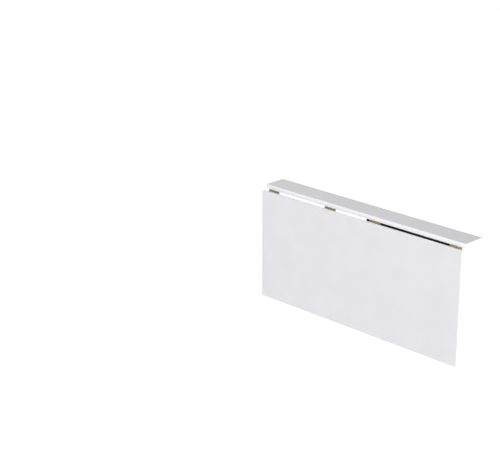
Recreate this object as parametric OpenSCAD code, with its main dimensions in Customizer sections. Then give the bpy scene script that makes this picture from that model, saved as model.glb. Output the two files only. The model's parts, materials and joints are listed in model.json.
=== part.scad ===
// Wall-mounted drop-leaf desk. A narrow shelf is fixed to the wall, a leaf hangs from it on four
// butt hinges, and a timber swing frame turns out from a wall post to carry the raised leaf.
// Units are millimetres. The wall is the plane Y = 0 and the room is on the -Y side.
// The origin is the centre of the wall rail's back face. The leaf is drawn hanging and the swing
// frame folded against the wall; leaf_drop and frame_fold turn them about their hinge pins.

/* [Boards] */
// Length of the shelf and of the leaf, along the wall
top_l = 1000; // [830:10:1200]
// Thickness of both boards
board_t = 18; // [15:0.5:22]
// Depth of the shelf, from the wall to the seam
shelf_d = 97.5; // [81:0.5:117]
// Depth of the leaf
leaf_d = 454; // [378:1:545]
// Gap between shelf and leaf when the leaf is raised
seam_gap = 1; // [0.6:0.1:2]
// Thickness of the edge banding
band_t = 1; // [0.6:0.1:2]

/* [Leaf hinges] */
// Length of each leaf hinge
hinge_l = 52; // [43:1:62]
// Width of one hinge plate, from the pin's axis
hinge_w = 22; // [18:0.5:26]
// Thickness of the hinge plates
hinge_t = 2; // [1.5:0.1:2.5]
// Radius of the hinge pin, round which the plates are rolled
pin_r = 2.75; // [2.2:0.05:3.3]
// Distance from each end of the top to the centre of the hinge nearest it
end_hinge_in = 45; // [38:1:54]
// Place of the inner left hinge's centre, left of the middle
inner_left_x = 152; // [127:1:182]
// Place of the inner right hinge's centre, right of the middle
inner_right_x = 76; // [64:1:91]

/* [Wall rail and post] */
// Length of the wall rail
rail_l = 882; // [740:2:980]
// Height of the wall rail
rail_h = 34; // [29:1:40]
// Thickness of the wall rail
rail_t = 9.5; // [8:0.5:11.5]
// Depth of the timber bars, across the wall
bar_d = 34.5; // [29:0.5:41]
// Thickness of the timber bars
bar_t = 21; // [18:0.5:25]
// Length of the wall post, from the shelf's underside down
post_l = 406; // [340:1:487]
// Width of the wall post
post_w = 31; // [26:0.5:36]
// Place of the post's hinged face, right of the middle
post_face_x = 11; // [9:0.5:13]
// Groove between the wall post and the swing frame's stile
groove = 5; // [4.2:0.1:6]

/* [Swing frame] */
// Room between the leaf hinges' knuckles and the top of the arm that passes under them
arm_room = 1.2; // [1:0.1:1.5]
// Room between the arm's tip and the right leaf hinge, where it passes under the shelf
tip_room = 14; // [11.7:0.1:17]
// Depth of the brace's foot on the stile, under the shelf's underside
brace_foot = 210; // [175:1:252]
// Distance from the swing axis to the brace's head, along the arm
brace_reach = 280; // [233:1:336]
// Width of the brace
brace_w = 22; // [18:0.5:26]
// Length of the packer on the arm's tip
packer_l = 60; // [50:1:72]
// Thickness of the rubber pad on the packer
pad_t = 2.5; // [2:0.1:3]
// Gap that the pad keeps under the boards
pad_gap = 0.3; // [0.2:0.1:0.6]

/* [Post hinges] */
// Length of each post hinge
post_hinge_l = 50; // [42:1:60]
// Width of one post hinge plate, from the pin's axis
post_hinge_w = 22; // [18:0.5:26]
// Thickness of the post hinge plates, rolled round a pin that leaves the knuckles room in the groove
post_hinge_t = 1.2; // [1:0.05:1.45]
// Distance of each post hinge's centre from the post's top or bottom
post_hinge_in = 76.5; // [64:0.5:91]

/* [Fasteners] */
// Radius of a hinge screw's shank
screw_r = 1.75; // [1.4:0.05:2.1]
// Radius of a hinge screw's head
head_r = 3.7; // [3.2:0.1:4.4]
// Length of a screw that goes into a board
screw_l = 14; // [11:0.5:15]
// Distance between the two screws of a hinge plate
screw_pitch = 30; // [25:1:33]
// Distance from the hinge pin's axis to the plate's screws
screw_out = 12; // [11:0.5:14]
// Radius of the wall screw holes
wall_hole_r = 2.75; // [2.2:0.05:3.3]
// Distance between the outer wall screw holes of the rail
rail_holes_outer = 800; // [700:10:820]
// Distance between the inner wall screw holes of the rail
rail_holes_inner = 400; // [340:10:480]
// Depth of the post's upper wall screw hole under the shelf's underside
post_hole_top = 137; // [125:1:160]
// Distance between the post's wall screw holes
post_holes = 240; // [235:1:260]
// Length of one flange of a shelf bracket
bracket_l = 20; // [17:0.5:24]
// Width of a shelf bracket
bracket_w = 16; // [14:0.5:19]
// Radius of the frame's dowels
dowel_r = 4; // [3.3:0.1:4.8]
// Length of the frame's dowels
dowel_l = 36; // [30:1:43]
// Length of the screws that hold the brace
brace_screw_l = 50; // [46:1:60]

/* [Hidden] */
$fn = 48;
// Clearance round pins and screws
run_fit = 0.05;
// Gap between neighbouring knuckles, between them and the boards, and between them and the bars
knuckle_gap = 0.3;
hinge_room = 0.7;
groove_room = 0.15;
// Sheet thickness and places of the shelf brackets, and the timber left behind their rail screws
bracket_t = 2;
bracket_xs = [-300, -100, 100, 300];
rail_screw_in = 2.5;
// Shank and head radius of the brace's screws, how deep their heads are sunk, and their heads' room
brace_screw_r = 2;
brace_head_r = 4;
head_sink = 6;
head_room = 0.5;
// Depth that the heads of the post's wall screws are sunk
wall_head_sink = 10;
// Height of a pin's peened head
peen_h = 0.8;
// Radius of a wood screw's tip, and how far a cut runs past the face that it opens
tip_r = 0.3;
eps = 0.01;
// Depth of the packer's screws in the arm
packer_screw_in = 16;
// Room over the stile, and from the arm's end to its packer
stile_room = 1.5;
packer_in = 4;
// Angle of the leaf below level and of the swing frame back from square to the wall
leaf_drop = 90;
frame_fold = 90;

under_z = rail_h / 2;
knuckle_r = pin_r + run_fit + hinge_t;
hinge_h = knuckle_r + hinge_room;
seam_y = -(shelf_d + seam_gap / 2);
swing_y = -(bar_d + groove / 2);
post_knuckle_r = groove / 2 - groove_room;
post_pin_r = post_knuckle_r - post_hinge_t - run_fit;
end_hinge_x = top_l / 2 - end_hinge_in;
hinge_xs = [-end_hinge_x, -inner_left_x, inner_right_x, end_hinge_x];
arm_reach = end_hinge_x - hinge_l / 2 - tip_room - post_face_x;
arm_gap = hinge_h + knuckle_r + arm_room;
arm_top = under_z - arm_gap;
arm_bottom = arm_top - bar_d;
stile_out = groove / 2 + bar_d;
stile_top = under_z - stile_room;
post_bottom = under_z - post_l;
post_hinge_zs = [under_z - post_hinge_in, post_bottom + post_hinge_in];
packer_h = arm_gap - pad_t - pad_gap;
rail_screw_l = bracket_t + rail_t - rail_screw_in;
dowel_zs = [arm_top - bar_d / 4, arm_bottom + bar_d / 4];

// Brace outline: outer edge from its foot on the stile to its head under the arm
foot_z = under_z - brace_foot;
brace_run = brace_reach - stile_out;
brace_rise = arm_bottom - foot_z;
brace_slope = sqrt(brace_run * brace_run + brace_rise * brace_rise);
foot_h = brace_w * brace_slope / brace_run;
head_w = brace_w * brace_slope / brace_rise;

// Frames of reference: the moving pieces are drawn about their hinge pin, raised and swung out

module at_seam() translate([0, seam_y, under_z - hinge_h]) children();

module leaf_at_rest() at_seam() rotate([leaf_drop, 0, 0]) children();

module at_post_axis() translate([post_face_x, swing_y, 0]) children();

module frame_at_rest() at_post_axis() rotate([0, 0, frame_fold]) children();

// Turns a hinge that is drawn along X under a board into one that is upright on a bar's +X face
module upright() rotate([0, -90, 0]) children();

// Box given by its lowest and highest corners
module block(low, high) translate(low) cube(high - low);

// Countersunk wood screw pointing up, with the rim of its head at z = 0
module wood_screw(length, r = screw_r, head = head_r) {
    head_h = head - r;
    point_h = 3 * r;
    cylinder(r1 = head, r2 = r, h = head_h);
    translate([0, 0, head_h]) cylinder(r = r, h = length - head_h - point_h);
    translate([0, 0, length - point_h]) cylinder(r1 = r, r2 = tip_r, h = point_h);
}

// The room that a wood screw takes, a running fit larger all round
module screw_room(length, r = screw_r, head = head_r) {
    head_h = head - r;
    translate([0, 0, -eps]) cylinder(r1 = head + run_fit + eps, r2 = r + run_fit, h = head_h + eps);
    translate([0, 0, head_h - eps]) cylinder(r = r + run_fit, h = length - head_h + run_fit + eps);
}

// Half of a butt hinge, drawn with its pin along X at the origin and its mounting face at z = rise.
// side is 1 for the plate towards +Y and -1 for the other; knuckles says which fifths it carries.
module hinge_half(length, width, thick, r, pin, rise, side, knuckles) {
    pitch = length / 5;
    difference() {
        union() {
            difference() {
                translate([-length / 2, side > 0 ? 0 : -width, rise - thick]) cube([length, width, thick]);
                for (i = [0 : 4])
                    if (len(search(i, knuckles)) == 0)
                        translate([(i - 2.5) * pitch - knuckle_gap / 2, -r - knuckle_gap, -r - rise])
                            cube([pitch + knuckle_gap, 2 * (r + knuckle_gap), 3 * (r + rise)]);
            }
            for (i = knuckles)
                translate([(i - 2.5) * pitch + knuckle_gap / 2, 0, 0])
                    rotate([0, 90, 0]) cylinder(r = r, h = pitch - knuckle_gap);
        }
        translate([-length, 0, 0]) rotate([0, 90, 0]) cylinder(r = pin + run_fit, h = 2 * length);
        plate_screw_places(side, rise - thick) screw_room(screw_l);
    }
}

// Places for a plate's two screws, pointing into the board from the face at height z
module plate_screw_places(side, z)
    for (x = [-screw_pitch / 2, screw_pitch / 2])
        translate([x, side * screw_out, z]) children();

// Pin with a low peened head at each end
module hinge_pin(length, pin, r) {
    head = (pin + r) / 2;
    translate([-length / 2, 0, 0]) rotate([0, 90, 0]) cylinder(r = pin, h = length);
    for (end = [0, 1])
        mirror([end, 0, 0])
            translate([length / 2, 0, 0]) rotate([0, 90, 0]) cylinder(r1 = head, r2 = pin, h = peen_h);
}

// Boards

module shelf_panel() color("gainsboro") difference() {
    block([-top_l / 2 + band_t, -shelf_d + band_t, under_z], [top_l / 2 - band_t, 0, under_z + board_t]);
    for (x = hinge_xs)
        translate([x, 0, 0]) at_seam() plate_screw_places(1, hinge_h - hinge_t) screw_room(screw_l);
    for (x = bracket_xs) bracket_shelf_screw_place(x) screw_room(screw_l);
}

module shelf_front_band() color("ghostwhite")
    block([-top_l / 2, -shelf_d, under_z], [top_l / 2, -shelf_d + band_t, under_z + board_t]);

module shelf_end_band()
    block([-top_l / 2, -shelf_d + band_t, under_z], [-top_l / 2 + band_t, 0, under_z + board_t]);

module shelf_left_band() color("white") shelf_end_band();

module shelf_right_band() color("white") mirror([1, 0, 0]) shelf_end_band();

// The leaf's outline about the hinge pin: its seam edge is half the gap away, its face above the pin
leaf_near = -seam_gap / 2;
leaf_far = leaf_near - leaf_d;

module leaf_panel() color("gainsboro") leaf_at_rest() difference() {
    block([-top_l / 2 + band_t, leaf_far + band_t, hinge_h],
        [top_l / 2 - band_t, leaf_near - band_t, hinge_h + board_t]);
    for (x = hinge_xs)
        translate([x, 0, 0]) plate_screw_places(-1, hinge_h - hinge_t) screw_room(screw_l);
}

module leaf_front_band() color("ghostwhite") leaf_at_rest()
    block([-top_l / 2, leaf_far, hinge_h], [top_l / 2, leaf_far + band_t, hinge_h + board_t]);

module leaf_seam_band() color("ghostwhite") leaf_at_rest()
    block([-top_l / 2, leaf_near - band_t, hinge_h], [top_l / 2, leaf_near, hinge_h + board_t]);

module leaf_end_band() leaf_at_rest()
    block([-top_l / 2, leaf_far + band_t, hinge_h],
        [-top_l / 2 + band_t, leaf_near - band_t, hinge_h + board_t]);

module leaf_left_band() color("white") leaf_end_band();

module leaf_right_band() color("white") mirror([1, 0, 0]) leaf_end_band();

// Leaf hinges

module shelf_plate(x) color("darkgoldenrod") translate([x, 0, 0]) at_seam()
    hinge_half(hinge_l, hinge_w, hinge_t, knuckle_r, pin_r, hinge_h, 1, [0, 2, 4]);

module leaf_plate(x) color("darkgoldenrod") translate([x, 0, 0]) leaf_at_rest()
    hinge_half(hinge_l, hinge_w, hinge_t, knuckle_r, pin_r, hinge_h, -1, [1, 3]);

module leaf_hinge_pin(x) color("goldenrod") translate([x, 0, 0]) at_seam()
    hinge_pin(hinge_l, pin_r, knuckle_r);

module shelf_plate_screws() color("goldenrod")
    for (x = hinge_xs)
        translate([x, 0, 0]) at_seam() plate_screw_places(1, hinge_h - hinge_t) wood_screw(screw_l);

module leaf_plate_screws() color("goldenrod") leaf_at_rest()
    for (x = hinge_xs)
        translate([x, 0, 0]) plate_screw_places(-1, hinge_h - hinge_t) wood_screw(screw_l);

// Wall rail, shelf brackets and wall post

module rail_holes()
    for (x = [-rail_holes_outer / 2, -rail_holes_inner / 2, rail_holes_inner / 2, rail_holes_outer / 2])
        translate([x, 0, 0]) rotate([90, 0, 0]) {
            translate([0, 0, -eps]) cylinder(r = wall_hole_r, h = rail_t + 2 * eps);
            translate([0, 0, rail_t - wall_hole_r]) cylinder(r1 = wall_hole_r, r2 = 2 * wall_hole_r + eps,
                h = wall_hole_r + eps);
        }

module wall_rail() color([0.16, 0.15, 0.14]) difference() {
    block([-rail_l / 2, -rail_t, -rail_h / 2], [rail_l / 2, 0, rail_h / 2]);
    rail_holes();
    for (x = bracket_xs) bracket_rail_screw_place(x) screw_room(rail_screw_l);
}

module bracket_shelf_screw_place(x)
    translate([x, -rail_t - bracket_l / 2 - bracket_t, under_z - bracket_t]) children();

module bracket_rail_screw_place(x)
    translate([x, -rail_t - bracket_t, under_z - bracket_l / 2 - bracket_t]) rotate([-90, 0, 0]) children();

module shelf_brackets() color("silver")
    for (x = bracket_xs)
        difference() {
            union() {
                block([x - bracket_w / 2, -rail_t - bracket_l, under_z - bracket_t],
                    [x + bracket_w / 2, -rail_t, under_z]);
                block([x - bracket_w / 2, -rail_t - bracket_t, under_z - bracket_l],
                    [x + bracket_w / 2, -rail_t, under_z]);
            }
            bracket_shelf_screw_place(x) screw_room(screw_l);
            bracket_rail_screw_place(x) screw_room(rail_screw_l);
        }

module bracket_shelf_screws() color("silver")
    for (x = bracket_xs) bracket_shelf_screw_place(x) wood_screw(screw_l);

module bracket_rail_screws() color("silver")
    for (x = bracket_xs) bracket_rail_screw_place(x) wood_screw(rail_screw_l);

// The post is notched over the rail and bored for its wall screws, with their heads sunk in front
module wall_post() color([0.19, 0.18, 0.16]) difference() {
    block([post_face_x - post_w, -bar_d, post_bottom], [post_face_x, 0, under_z]);
    block([post_face_x - post_w - eps, -rail_t, -rail_h / 2], [post_face_x + eps, eps, under_z + eps]);
    for (z = [under_z - post_hole_top, under_z - post_hole_top - post_holes])
        translate([post_face_x - post_w / 2, 0, z]) rotate([90, 0, 0]) {
            translate([0, 0, -eps]) cylinder(r = wall_hole_r, h = bar_d + 2 * eps);
            translate([0, 0, bar_d - wall_head_sink])
                cylinder(r = 2.2 * wall_hole_r, h = wall_head_sink + eps);
        }
    at_post_axis() post_hinges() plate_screw_places(1, -post_hinge_t) screw_room(screw_l);
}

// Post hinges

module post_hinges() for (z = post_hinge_zs) translate([0, 0, z]) upright() children();

module post_hinge_half(side, knuckles)
    hinge_half(post_hinge_l, post_hinge_w, post_hinge_t, post_knuckle_r, post_pin_r, 0, side, knuckles);

module post_wall_plate(z) color([0.17, 0.16, 0.15])
    at_post_axis() translate([0, 0, z]) upright() post_hinge_half(1, [0, 2, 4]);

module post_stile_plate(z) color([0.17, 0.16, 0.15])
    frame_at_rest() translate([0, 0, z]) upright() post_hinge_half(-1, [1, 3]);

module post_hinge_pin(z) color([0.17, 0.16, 0.15])
    at_post_axis() translate([0, 0, z]) upright() hinge_pin(post_hinge_l, post_pin_r, post_knuckle_r);

module post_plate_screws() color([0.17, 0.16, 0.15])
    at_post_axis() post_hinges() plate_screw_places(1, -post_hinge_t) wood_screw(screw_l);

module stile_plate_screws() color("silver")
    frame_at_rest() post_hinges() plate_screw_places(-1, -post_hinge_t) wood_screw(screw_l);

// Swing frame: its stile, arm and brace lie in the bar's thickness, behind the hinge's face

module frame_bar(low_y, high_y, low_z, high_z)
    block([-bar_t, low_y, low_z], [0, high_y, high_z]);

module dowel_places()
    for (z = dowel_zs)
        translate([-bar_t / 2, -stile_out + dowel_l / 2, z]) rotate([90, 0, 0]) children();

// Middle of the brace's foot and head, where their screws go in
foot_mid = foot_z + foot_h / 2;
head_mid = -brace_reach + head_w / 2;

module foot_screw_place()
    translate([-bar_t / 2, -groove / 2 - head_sink, foot_mid]) rotate([90, 0, 0]) children();

module head_screw_place()
    translate([-bar_t / 2, head_mid, arm_top - head_sink]) rotate([180, 0, 0]) children();

module brace_screw_room() {
    translate([0, 0, -head_sink - eps]) cylinder(r = brace_head_r + head_room, h = head_sink + 2 * eps);
    screw_room(brace_screw_l, brace_screw_r, brace_head_r);
}

module swing_stile() color([0.19, 0.18, 0.16]) frame_at_rest() difference() {
    frame_bar(-stile_out, -groove / 2, post_bottom, stile_top);
    dowel_places() translate([0, 0, -run_fit]) cylinder(r = dowel_r + run_fit, h = dowel_l + 2 * run_fit);
    foot_screw_place() brace_screw_room();
    post_hinges() plate_screw_places(-1, -post_hinge_t) screw_room(screw_l);
}

module swing_arm() color([0.12, 0.11, 0.11]) frame_at_rest() difference() {
    frame_bar(-arm_reach, -stile_out, arm_bottom, arm_top);
    dowel_places() translate([0, 0, -run_fit]) cylinder(r = dowel_r + run_fit, h = dowel_l + 2 * run_fit);
    head_screw_place() brace_screw_room();
    packer_screw_places() screw_room(packer_screw_l);
}

module swing_brace() color([0.14, 0.13, 0.12]) frame_at_rest() difference() {
    translate([-bar_t, 0, 0]) rotate([90, 0, 90]) linear_extrude(bar_t) polygon([
        [-stile_out, foot_z],
        [-brace_reach, arm_bottom],
        [-brace_reach + head_w, arm_bottom],
        [-stile_out, foot_z + foot_h],
    ]);
    foot_screw_place() brace_screw_room();
    head_screw_place() brace_screw_room();
}

module frame_dowels() color("burlywood") frame_at_rest() dowel_places() cylinder(r = dowel_r, h = dowel_l);

module brace_screws() color("silver") frame_at_rest() {
    foot_screw_place() wood_screw(brace_screw_l, brace_screw_r, brace_head_r);
    head_screw_place() wood_screw(brace_screw_l, brace_screw_r, brace_head_r);
}

// Packer and rubber pad that bring the arm's tip up to the boards
packer_far = -arm_reach + packer_in;
packer_near = packer_far + packer_l;
packer_screw_l = packer_h + packer_screw_in;

module packer_screw_places()
    for (y = [packer_far + packer_l / 4, packer_near - packer_l / 4])
        translate([-bar_t / 2, y, arm_top + packer_h]) rotate([180, 0, 0]) children();

module arm_packer() color([0.12, 0.11, 0.11]) frame_at_rest() difference() {
    frame_bar(packer_far, packer_near, arm_top, arm_top + packer_h);
    packer_screw_places() screw_room(packer_screw_l);
}

module packer_screws() color("silver") frame_at_rest() packer_screw_places() wood_screw(packer_screw_l);

module arm_pad() color("dimgray") frame_at_rest()
    frame_bar(packer_far, packer_near, arm_top + packer_h, arm_top + packer_h + pad_t);

shelf_panel();
shelf_front_band();
shelf_left_band();
shelf_right_band();
wall_rail();
shelf_brackets();
bracket_shelf_screws();
bracket_rail_screws();
wall_post();
shelf_plate(hinge_xs[0]);  // left_hinge_shelf_plate
leaf_plate(hinge_xs[0]);  // left_hinge_leaf_plate
leaf_hinge_pin(hinge_xs[0]);  // left_hinge_pin
shelf_plate(hinge_xs[1]);  // inner_left_hinge_shelf_plate
leaf_plate(hinge_xs[1]);  // inner_left_hinge_leaf_plate
leaf_hinge_pin(hinge_xs[1]);  // inner_left_hinge_pin
shelf_plate(hinge_xs[2]);  // inner_right_hinge_shelf_plate
leaf_plate(hinge_xs[2]);  // inner_right_hinge_leaf_plate
leaf_hinge_pin(hinge_xs[2]);  // inner_right_hinge_pin
shelf_plate(hinge_xs[3]);  // right_hinge_shelf_plate
leaf_plate(hinge_xs[3]);  // right_hinge_leaf_plate
leaf_hinge_pin(hinge_xs[3]);  // right_hinge_pin
shelf_plate_screws();
leaf_plate_screws();
leaf_panel();
leaf_front_band();
leaf_seam_band();
leaf_left_band();
leaf_right_band();
post_wall_plate(post_hinge_zs[0]);  // upper_post_hinge_wall_plate
post_stile_plate(post_hinge_zs[0]);  // upper_post_hinge_stile_plate
post_hinge_pin(post_hinge_zs[0]);  // upper_post_hinge_pin
post_wall_plate(post_hinge_zs[1]);  // lower_post_hinge_wall_plate
post_stile_plate(post_hinge_zs[1]);  // lower_post_hinge_stile_plate
post_hinge_pin(post_hinge_zs[1]);  // lower_post_hinge_pin
post_plate_screws();
stile_plate_screws();
swing_stile();
swing_arm();
swing_brace();
frame_dowels();
brace_screws();
arm_packer();
packer_screws();
arm_pad();
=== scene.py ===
# %% [markdown]
# # A wall-mounted drop-leaf desk
#
# The desk is a narrow shelf on the wall, a leaf that hangs from it on four brass butt hinges, and a
# black timber frame that swings out from a post to carry the leaf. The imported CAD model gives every
# piece its place and size. This lesson remodels the pieces one by one, with the soft arrises, rolled
# knuckles and screw recesses that the real ones have, and gives each finish its own node material.

# %% Load the frame
import json
import math

import bmesh
import bpy
from mathutils import Matrix, Vector


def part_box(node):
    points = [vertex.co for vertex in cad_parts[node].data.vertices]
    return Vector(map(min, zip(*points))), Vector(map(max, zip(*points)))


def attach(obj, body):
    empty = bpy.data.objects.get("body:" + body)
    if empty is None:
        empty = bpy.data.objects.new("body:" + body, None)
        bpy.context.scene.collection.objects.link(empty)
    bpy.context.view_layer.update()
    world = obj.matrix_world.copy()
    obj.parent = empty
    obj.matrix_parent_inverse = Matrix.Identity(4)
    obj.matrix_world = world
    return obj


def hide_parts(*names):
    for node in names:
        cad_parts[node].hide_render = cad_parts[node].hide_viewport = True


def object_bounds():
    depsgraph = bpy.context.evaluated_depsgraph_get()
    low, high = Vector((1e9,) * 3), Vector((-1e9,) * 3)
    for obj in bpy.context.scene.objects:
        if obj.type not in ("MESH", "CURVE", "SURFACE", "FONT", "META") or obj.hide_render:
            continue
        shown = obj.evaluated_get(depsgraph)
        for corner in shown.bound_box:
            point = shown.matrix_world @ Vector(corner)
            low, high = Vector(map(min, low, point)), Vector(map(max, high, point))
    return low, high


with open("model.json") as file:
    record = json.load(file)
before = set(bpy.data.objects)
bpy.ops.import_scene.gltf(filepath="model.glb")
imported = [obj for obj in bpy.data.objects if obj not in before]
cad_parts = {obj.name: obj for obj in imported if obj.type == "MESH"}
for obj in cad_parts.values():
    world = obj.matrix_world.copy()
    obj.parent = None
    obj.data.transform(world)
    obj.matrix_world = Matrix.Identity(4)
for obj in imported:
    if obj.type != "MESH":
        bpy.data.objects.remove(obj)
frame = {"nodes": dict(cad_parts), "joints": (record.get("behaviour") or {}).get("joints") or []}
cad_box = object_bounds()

joints = {j["name"]: j for j in frame["joints"]}
leaf_pin = Vector(joints["leaf_hinge"]["pos_m"])
post_pin = Vector(joints["frame_swing"]["pos_m"])
print("nodes:", len(frame["nodes"]), "leaf pin:", leaf_pin[:], "post pin:", post_pin[:])

# %% [markdown]
# ## Camera
#
# The desk is seen from the right and from above, with a long lens that keeps its edges nearly
# parallel. The camera is placed by its standpoint and two angles rather than by a target, because
# the desk stands to the right of the picture's middle.

# %% Camera
CAMERA_AT = (3.247, -3.944, 1.754)
CAMERA_AZIMUTH = math.radians(44.952)
CAMERA_ELEVATION = math.radians(19.444)
LENS_MM = 100.1

bpy.ops.object.camera_add(
    location=CAMERA_AT,
    rotation=(math.pi / 2 - CAMERA_ELEVATION, 0, CAMERA_AZIMUTH),
)
camera = bpy.context.object
camera.data.lens = LENS_MM
camera.data.clip_end = 100
bpy.context.scene.camera = camera
print("camera", camera.location[:])

# %% [markdown]
# ## Modelling helpers
#
# Every piece starts as a primitive at its real size. Operators act on all that is selected, and the
# frame arrives selected, so each helper first deselects everything. A finished piece has its object
# at the origin and its place in its mesh, which transform_apply does.

# %% Starting and settling a piece
def deselect_all():
    """Leave edit mode, and select nothing."""
    if bpy.context.object and bpy.context.object.mode != "OBJECT":
        bpy.ops.object.mode_set(mode="OBJECT")
    bpy.ops.object.select_all(action="DESELECT")


def only(obj):
    """Make obj the one selected and active object."""
    deselect_all()
    obj.select_set(True)
    bpy.context.view_layer.objects.active = obj
    return obj


def settle(name=None):
    """Put the active object's place into its mesh, and name it."""
    bpy.ops.object.transform_apply(location=True, rotation=True, scale=True)
    obj = bpy.context.object
    if name:
        obj.name = obj.data.name = name
    return obj


def add_block(name, low, high):
    """A box between two corners."""
    low, high = Vector(low), Vector(high)
    deselect_all()
    bpy.ops.mesh.primitive_cube_add(size=1, location=(low + high) / 2, scale=high - low)
    return settle(name)


# %% [markdown]
# Pins, screws and the drills for their holes are all turned shapes, so one helper makes them. It
# starts with a disk, and extrudes and scales it ring by ring along Z, as on a lathe. The finished
# shape is turned and moved to where it belongs.

# %% Turned shapes
def pointing(direction):
    """The rotation that takes +Z to a direction."""
    return Vector(direction).to_track_quat("Z", "Y").to_matrix().to_4x4()


def turned(name, rings, at=(0, 0, 0), toward=(0, 0, 1), sides=24):
    """A closed shape from (height, radius) rings, placed at a point and aimed in a direction."""
    height, radius = rings[0]
    deselect_all()
    bpy.ops.mesh.primitive_circle_add(
        vertices=sides, radius=radius, fill_type="NGON", location=(0, 0, height)
    )
    shape = settle(name)
    bpy.ops.object.mode_set(mode="EDIT")
    bpy.ops.mesh.select_mode(type="FACE")
    bpy.ops.mesh.select_all(action="SELECT")
    for next_height, next_radius in rings[1:]:
        grow = next_radius / radius
        bpy.ops.mesh.extrude_region_move(
            TRANSFORM_OT_translate={"value": (0, 0, next_height - height)}
        )
        bpy.ops.transform.resize(value=(grow, grow, 1), center_override=(0, 0, next_height))
        height, radius = next_height, next_radius
    bpy.ops.mesh.select_all(action="SELECT")
    bpy.ops.mesh.normals_make_consistent(inside=False)
    bpy.ops.object.mode_set(mode="OBJECT")
    shape.data.transform(Matrix.Translation(at) @ pointing(toward))
    return shape


# %% [markdown]
# Edges are chosen in code, by a test on each edge, and then bevelled with the same operator as by
# hand. Holes are cut with a Boolean modifier, which is applied at once, so that only plain meshes
# are left.

# %% Choosing, bevelling, drilling and joining
def in_edit_mode(obj, kind):
    """Open obj for editing with nothing selected; kind is VERT, EDGE or FACE."""
    only(obj)
    bpy.ops.object.mode_set(mode="EDIT")
    bpy.ops.mesh.select_mode(type=kind)
    bpy.ops.mesh.select_all(action="DESELECT")
    return bmesh.from_edit_mesh(obj.data)


def bevel(obj, width, steps=3, wanted=lambda edge: True):
    """Round the edges that pass the test."""
    mesh = in_edit_mode(obj, "EDGE")
    for edge in mesh.edges:
        edge.select_set(wanted(edge))
    bmesh.update_edit_mesh(obj.data)
    bpy.ops.mesh.bevel(offset=width, segments=steps, affect="EDGES", clamp_overlap=True)
    bpy.ops.object.mode_set(mode="OBJECT")
    return obj


def joined(name, objects):
    """Join objects into the first."""
    deselect_all()
    for obj in objects:
        obj.select_set(True)
    bpy.context.view_layer.objects.active = objects[0]
    if len(objects) > 1:
        bpy.ops.object.join()
    return settle(name)


def cut(obj, *cutters):
    """Cut the cutters out of obj, and remove them."""
    for cutter in cutters:
        only(obj)
        modifier = obj.modifiers.new("cut", "BOOLEAN")
        modifier.operation = "DIFFERENCE"
        modifier.solver = "EXACT"
        modifier.object = cutter
        bpy.ops.object.modifier_apply(modifier=modifier.name)
        bpy.data.objects.remove(cutter)
    return obj


def copy_of(obj, name, matrix=Matrix.Identity(4)):
    """A copy with its own mesh, moved by a matrix."""
    twin = obj.copy()
    twin.data = obj.data.copy()
    bpy.context.scene.collection.objects.link(twin)
    twin.data.transform(matrix)
    twin.name = twin.data.name = name
    return twin


def smooth(obj):
    """Shade smooth, but keep the edges sharper than SHARP_FROM."""
    only(obj)
    bpy.ops.object.shade_smooth_by_angle(angle=SHARP_FROM)
    return obj


SHARP_FROM = math.radians(35)
pieces_made = []


def finish_piece(obj, material, body, slot, *nodes):
    """Give a piece its material and its body, and hide the CAD nodes that it stands for; slot is not used.
    """
    smooth(obj)
    if not obj.data.materials:
        obj.data.materials.append(material)
    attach(obj, body)
    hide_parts(*nodes)
    pieces_made.append(obj.name)
    print(obj.name, "-", len(obj.data.polygons), "faces, rides on", body)
    return obj


# %% [markdown]
# ## Node helpers
#
# A material is a small tree: coordinates, a pattern, a ramp for colour, another for roughness and a
# bump. Object coordinates are metres in the desk's frame here, because every piece's object sits at
# the origin, so a scale of 1000 makes a pattern about a millimetre across.

# %% Small tools for node trees
def new_material(name, **sockets):
    """A principled material, with constant values set on the shader's own sockets."""
    material = bpy.data.materials.new(name)
    material.use_nodes = True
    shader = material.node_tree.nodes["Principled BSDF"]
    for socket, value in sockets.items():
        shader.inputs[socket.replace("_", " ")].default_value = value
    return material, shader


def node(material, kind, inputs=None, **settings):
    """Add a node, set its properties, and link or set its inputs."""
    made = material.node_tree.nodes.new(kind)
    for key, value in settings.items():
        setattr(made, key, value)
    for key, value in (inputs or {}).items():
        if isinstance(value, bpy.types.NodeSocket):
            material.node_tree.links.new(value, made.inputs[key])
        else:
            made.inputs[key].default_value = value
    return made


def object_coordinates(material, scale=(1, 1, 1), rotation=(0, 0, 0)):
    """The place in metres, stretched and turned."""
    place = node(material, "ShaderNodeTexCoord").outputs["Object"]
    inputs = {"Vector": place, "Scale": scale, "Rotation": rotation}
    return node(material, "ShaderNodeMapping", inputs).outputs["Vector"]


def noise(material, vector, scale, detail=3.0, roughness=0.5):
    inputs = {"Vector": vector, "Scale": scale, "Detail": detail, "Roughness": roughness}
    return node(material, "ShaderNodeTexNoise", inputs).outputs["Fac"]


def ramp(material, factor, stops):
    """A colour ramp from (position, colour) pairs; a plain number is a grey."""
    made = node(material, "ShaderNodeValToRGB", {"Fac": factor})
    elements = made.color_ramp.elements
    while len(elements) < len(stops):
        elements.new(0.5)
    for element, (position, colour) in zip(elements, stops):
        element.position = position
        grey = isinstance(colour, (int, float))
        element.color = (colour, colour, colour, 1) if grey else (*colour, 1)
    return made.outputs["Color"]


def bumps(material, shader, layers):
    """Lay height patterns over one another: (height, strength, depth in metres)."""
    normal = None
    for height, strength, depth in layers:
        inputs = {"Height": height, "Strength": strength, "Distance": depth}
        if normal:
            inputs["Normal"] = normal
        normal = node(material, "ShaderNodeBump", inputs).outputs["Normal"]
    material.node_tree.links.new(normal, shader.inputs["Normal"])


def feed(material, output, shader, socket):
    """Link an output to a named socket of the shader."""
    material.node_tree.links.new(output, shader.inputs[socket])


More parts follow.
